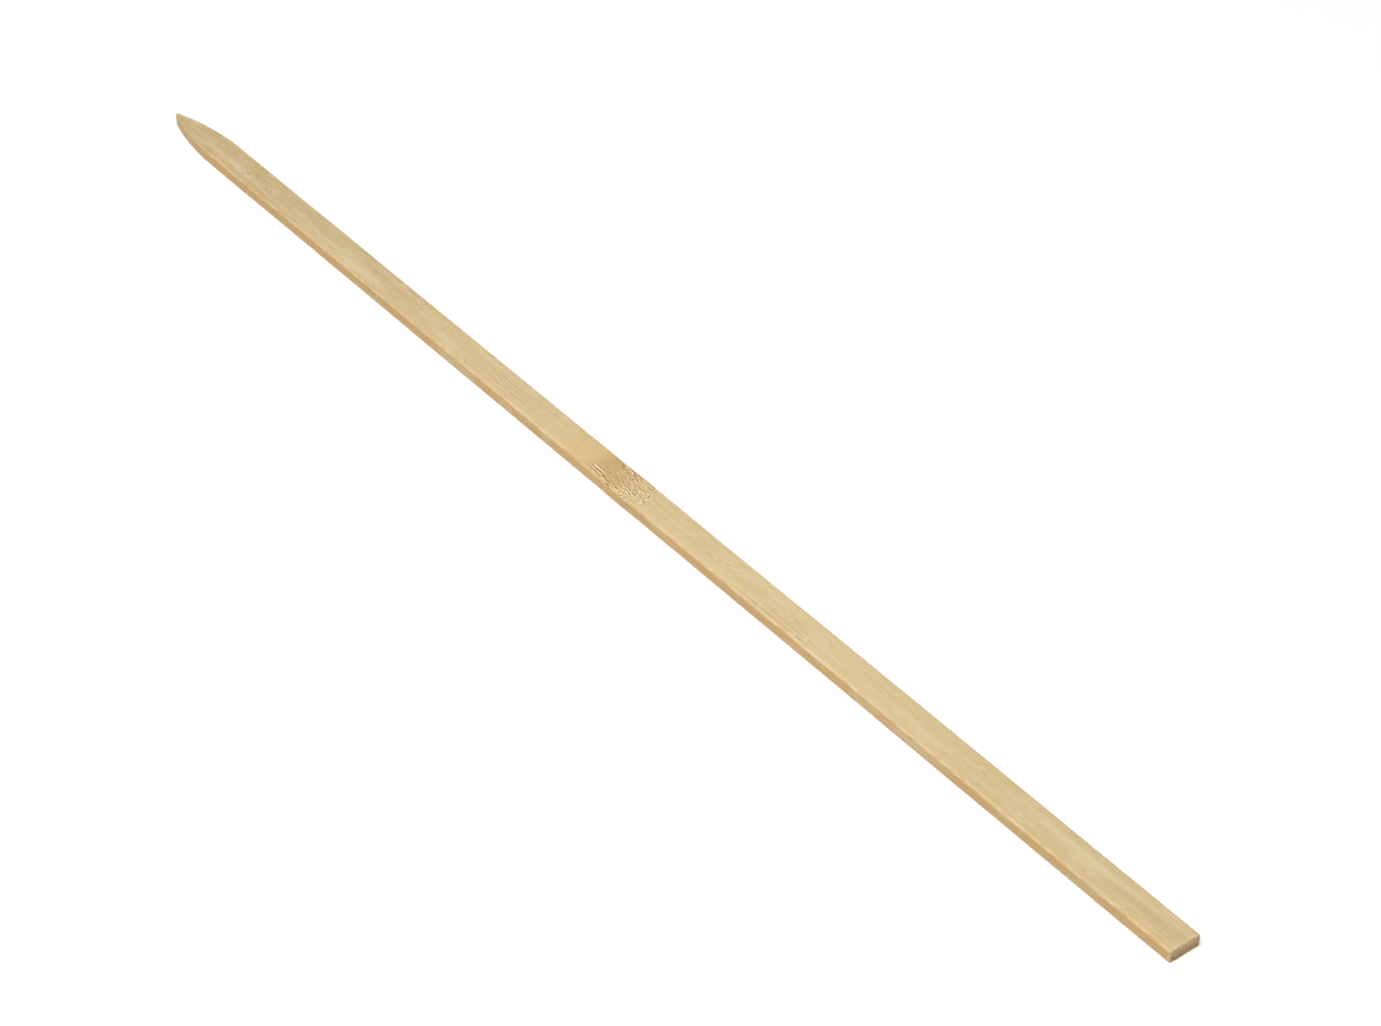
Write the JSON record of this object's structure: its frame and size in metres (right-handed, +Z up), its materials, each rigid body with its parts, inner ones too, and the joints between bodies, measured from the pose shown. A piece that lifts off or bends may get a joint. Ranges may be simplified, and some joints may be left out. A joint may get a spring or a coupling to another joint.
{
  "type": "flat bamboo skewer",
  "caption": "Flat wide bamboo skewer: a planed strip with eased edges, a sawn square butt and a ground, slightly off-centre point.",
  "frame": {"origin": "centre of the bounding box at its base, which is under the middle of the strip, on the flat lower face that it lies on", "axes": "+X along the strip towards the point, +Y across it towards the side that the point is ground nearer to, +Z up through the crowned upper face"},
  "size_m": [0.432, 0.0096, 0.0041],
  "materials": {
    "bamboo": "planed bare bamboo, dry and matt with a slight silky sheen along the fibres"
  },
  "bodies": {
    "root": {"skewer": "bamboo"}
  },
  "joints": []
}
